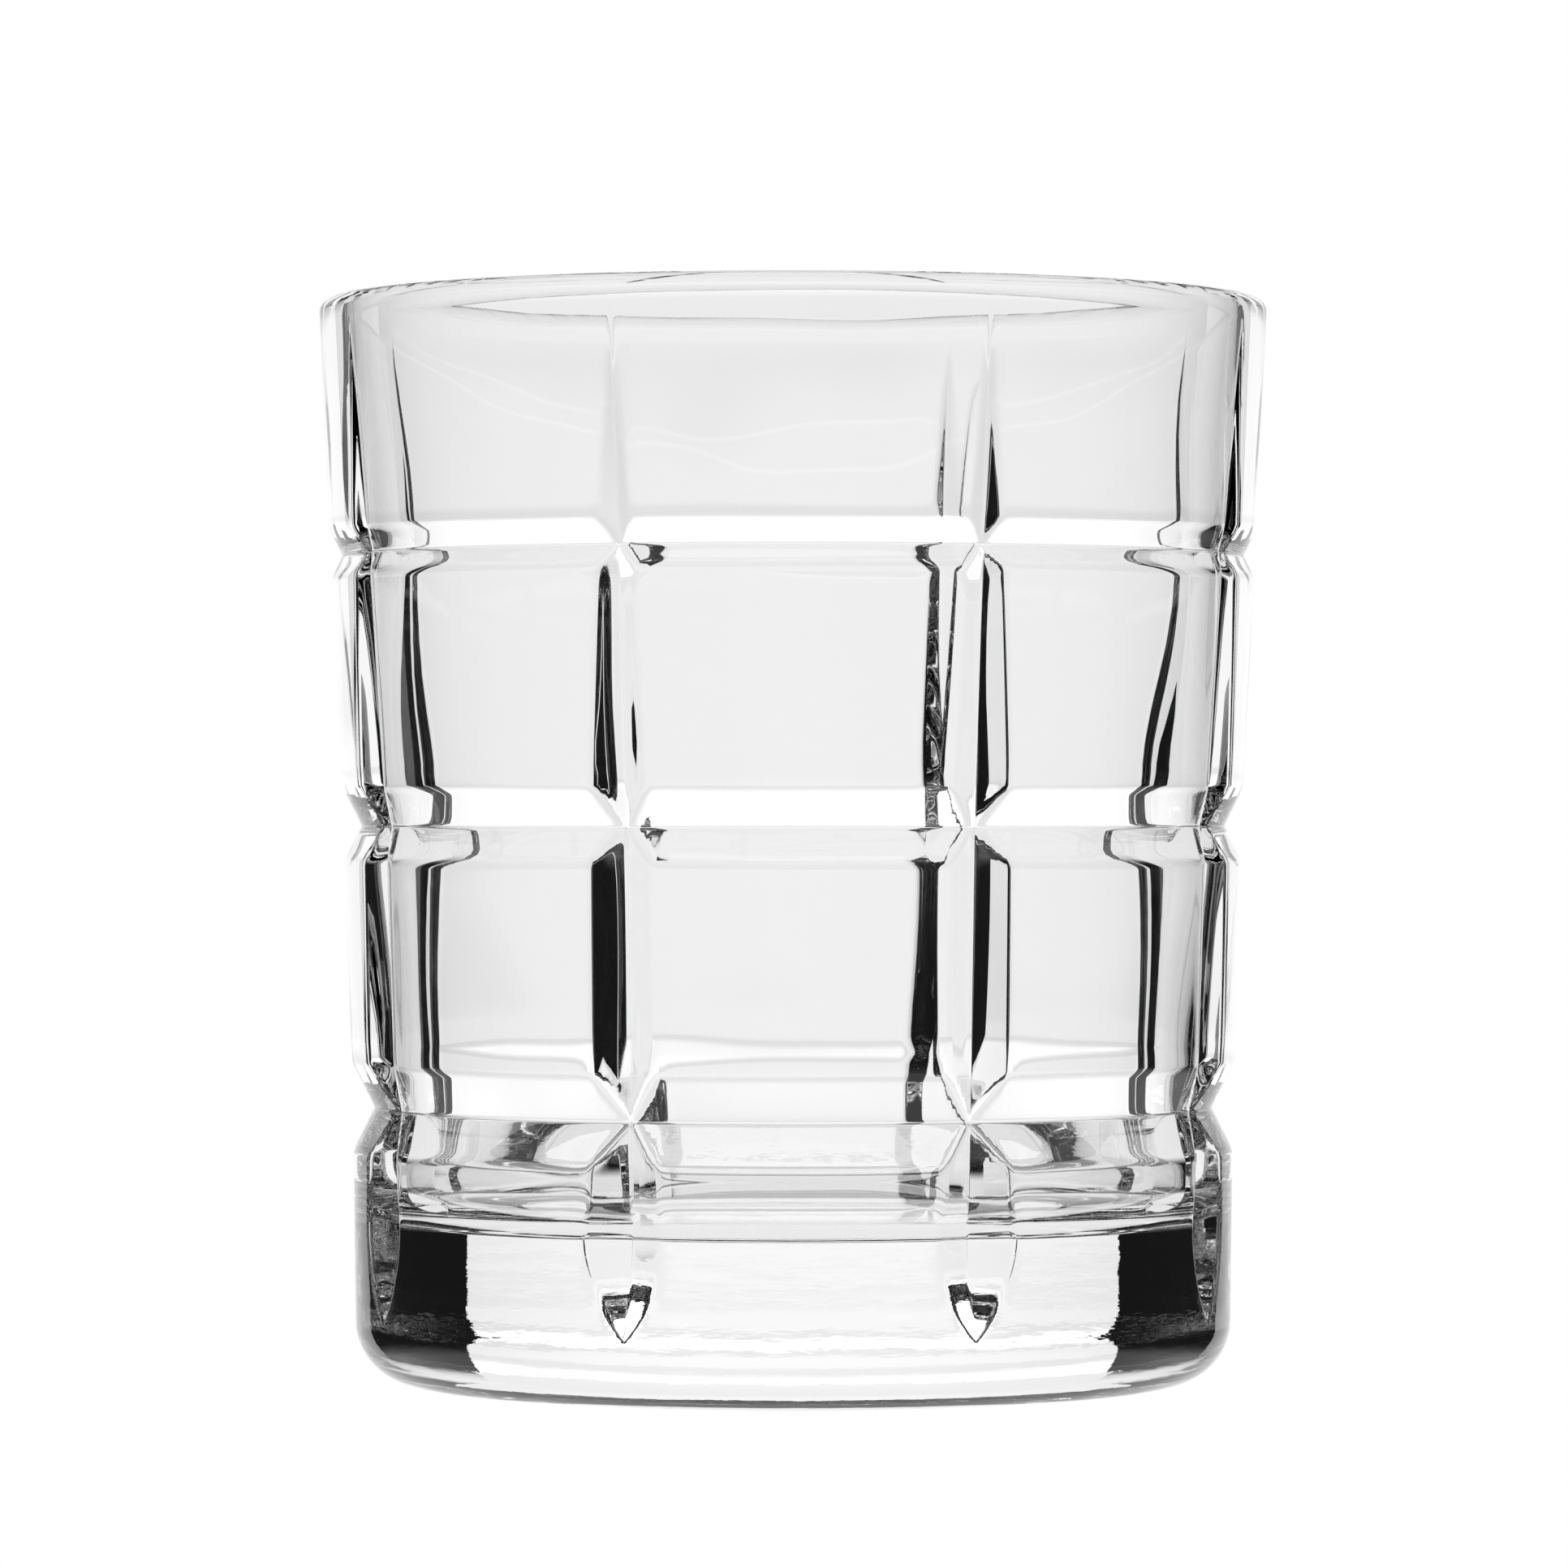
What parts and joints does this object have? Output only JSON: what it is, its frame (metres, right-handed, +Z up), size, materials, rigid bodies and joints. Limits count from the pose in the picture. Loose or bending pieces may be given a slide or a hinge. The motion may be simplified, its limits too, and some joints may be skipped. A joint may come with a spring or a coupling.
{
  "type": "whiskey tumbler",
  "caption": "Clear cut-glass whiskey tumbler on a thick solid base, with upright V cuts crossed by V rings that leave rows of panels.",
  "frame": {"origin": "centre of the base, on the surface that the glass stands on", "axes": "+Z up along the axis of the glass; a row of panels faces -Y, and the upright cuts lie at 22.5 degrees and every 45 degrees from it"},
  "size_m": [0.084, 0.084, 0.096],
  "materials": {
    "glass": "polished clear colourless glass, index of refraction about 1.52"
  },
  "bodies": {
    "root": {"tumbler": "glass"}
  },
  "joints": []
}
